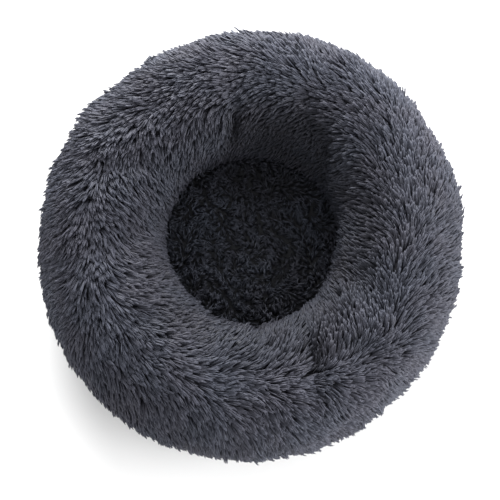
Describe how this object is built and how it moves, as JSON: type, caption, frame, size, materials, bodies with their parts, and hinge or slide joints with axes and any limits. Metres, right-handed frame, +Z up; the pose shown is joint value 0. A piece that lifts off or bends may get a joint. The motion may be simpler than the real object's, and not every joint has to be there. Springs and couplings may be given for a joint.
{
  "type": "pet cushion bed",
  "caption": "Round pet bed: a thick stuffed ring in long dark faux fur around a sunken nest pad, on a zipped cloth base.",
  "frame": {"origin": "centre of the footprint, on the surface that the bed stands on", "axes": "+Z up, out of the nest; +Y towards the back, where the zip is; +X to the right"},
  "size_m": [0.5719, 0.572, 0.18],
  "materials": {
    "ring_fur": "matte",
    "nest_fur": "matte",
    "liner": "matte",
    "fibre_fill": "matte",
    "oxford": "matte",
    "zip_tape": "matte",
    "grip_rubber": "matte",
    "zip_nylon": "satin",
    "zip_metal": "satin",
    "label_cloth": "matte"
  },
  "bodies": {
    "bed": {"ring_cover": "ring_fur", "nest_panel": "nest_fur", "ring_liner": "liner", "nest_pad_liner": "liner", "ring_fill": "fibre_fill", "nest_pad_fill": "fibre_fill", "base_cloth": "oxford", "side_band": "oxford", "zip_band_lower": "oxford", "zip_band_upper": "oxford", "grip_dots": "grip_rubber", "zip_tape_lower": "zip_tape", "zip_tape_upper": "zip_tape", "zip_coil_lower": "zip_nylon", "zip_coil_upper": "zip_nylon", "zip_top_stops": "zip_metal", "zip_bottom_stop": "zip_metal", "care_label": "label_cloth"},
    "slider": {"zip_slider": "zip_metal"},
    "pull": {"zip_pull": "zip_metal"}
  },
  "joints": [
    {"name": "zip_travel", "type": "hinge", "parent": "bed", "child": "slider", "pos_m": [0, 0, 0.017], "axis": [0, 0, -1], "range_deg": [0, 143.39]},
    {"name": "pull_swing", "type": "hinge", "parent": "slider", "child": "pull", "pos_m": [-0.23989, 0.07937, 0.017], "axis": [0, 0, 1], "range_deg": [0, 180]}
  ]
}
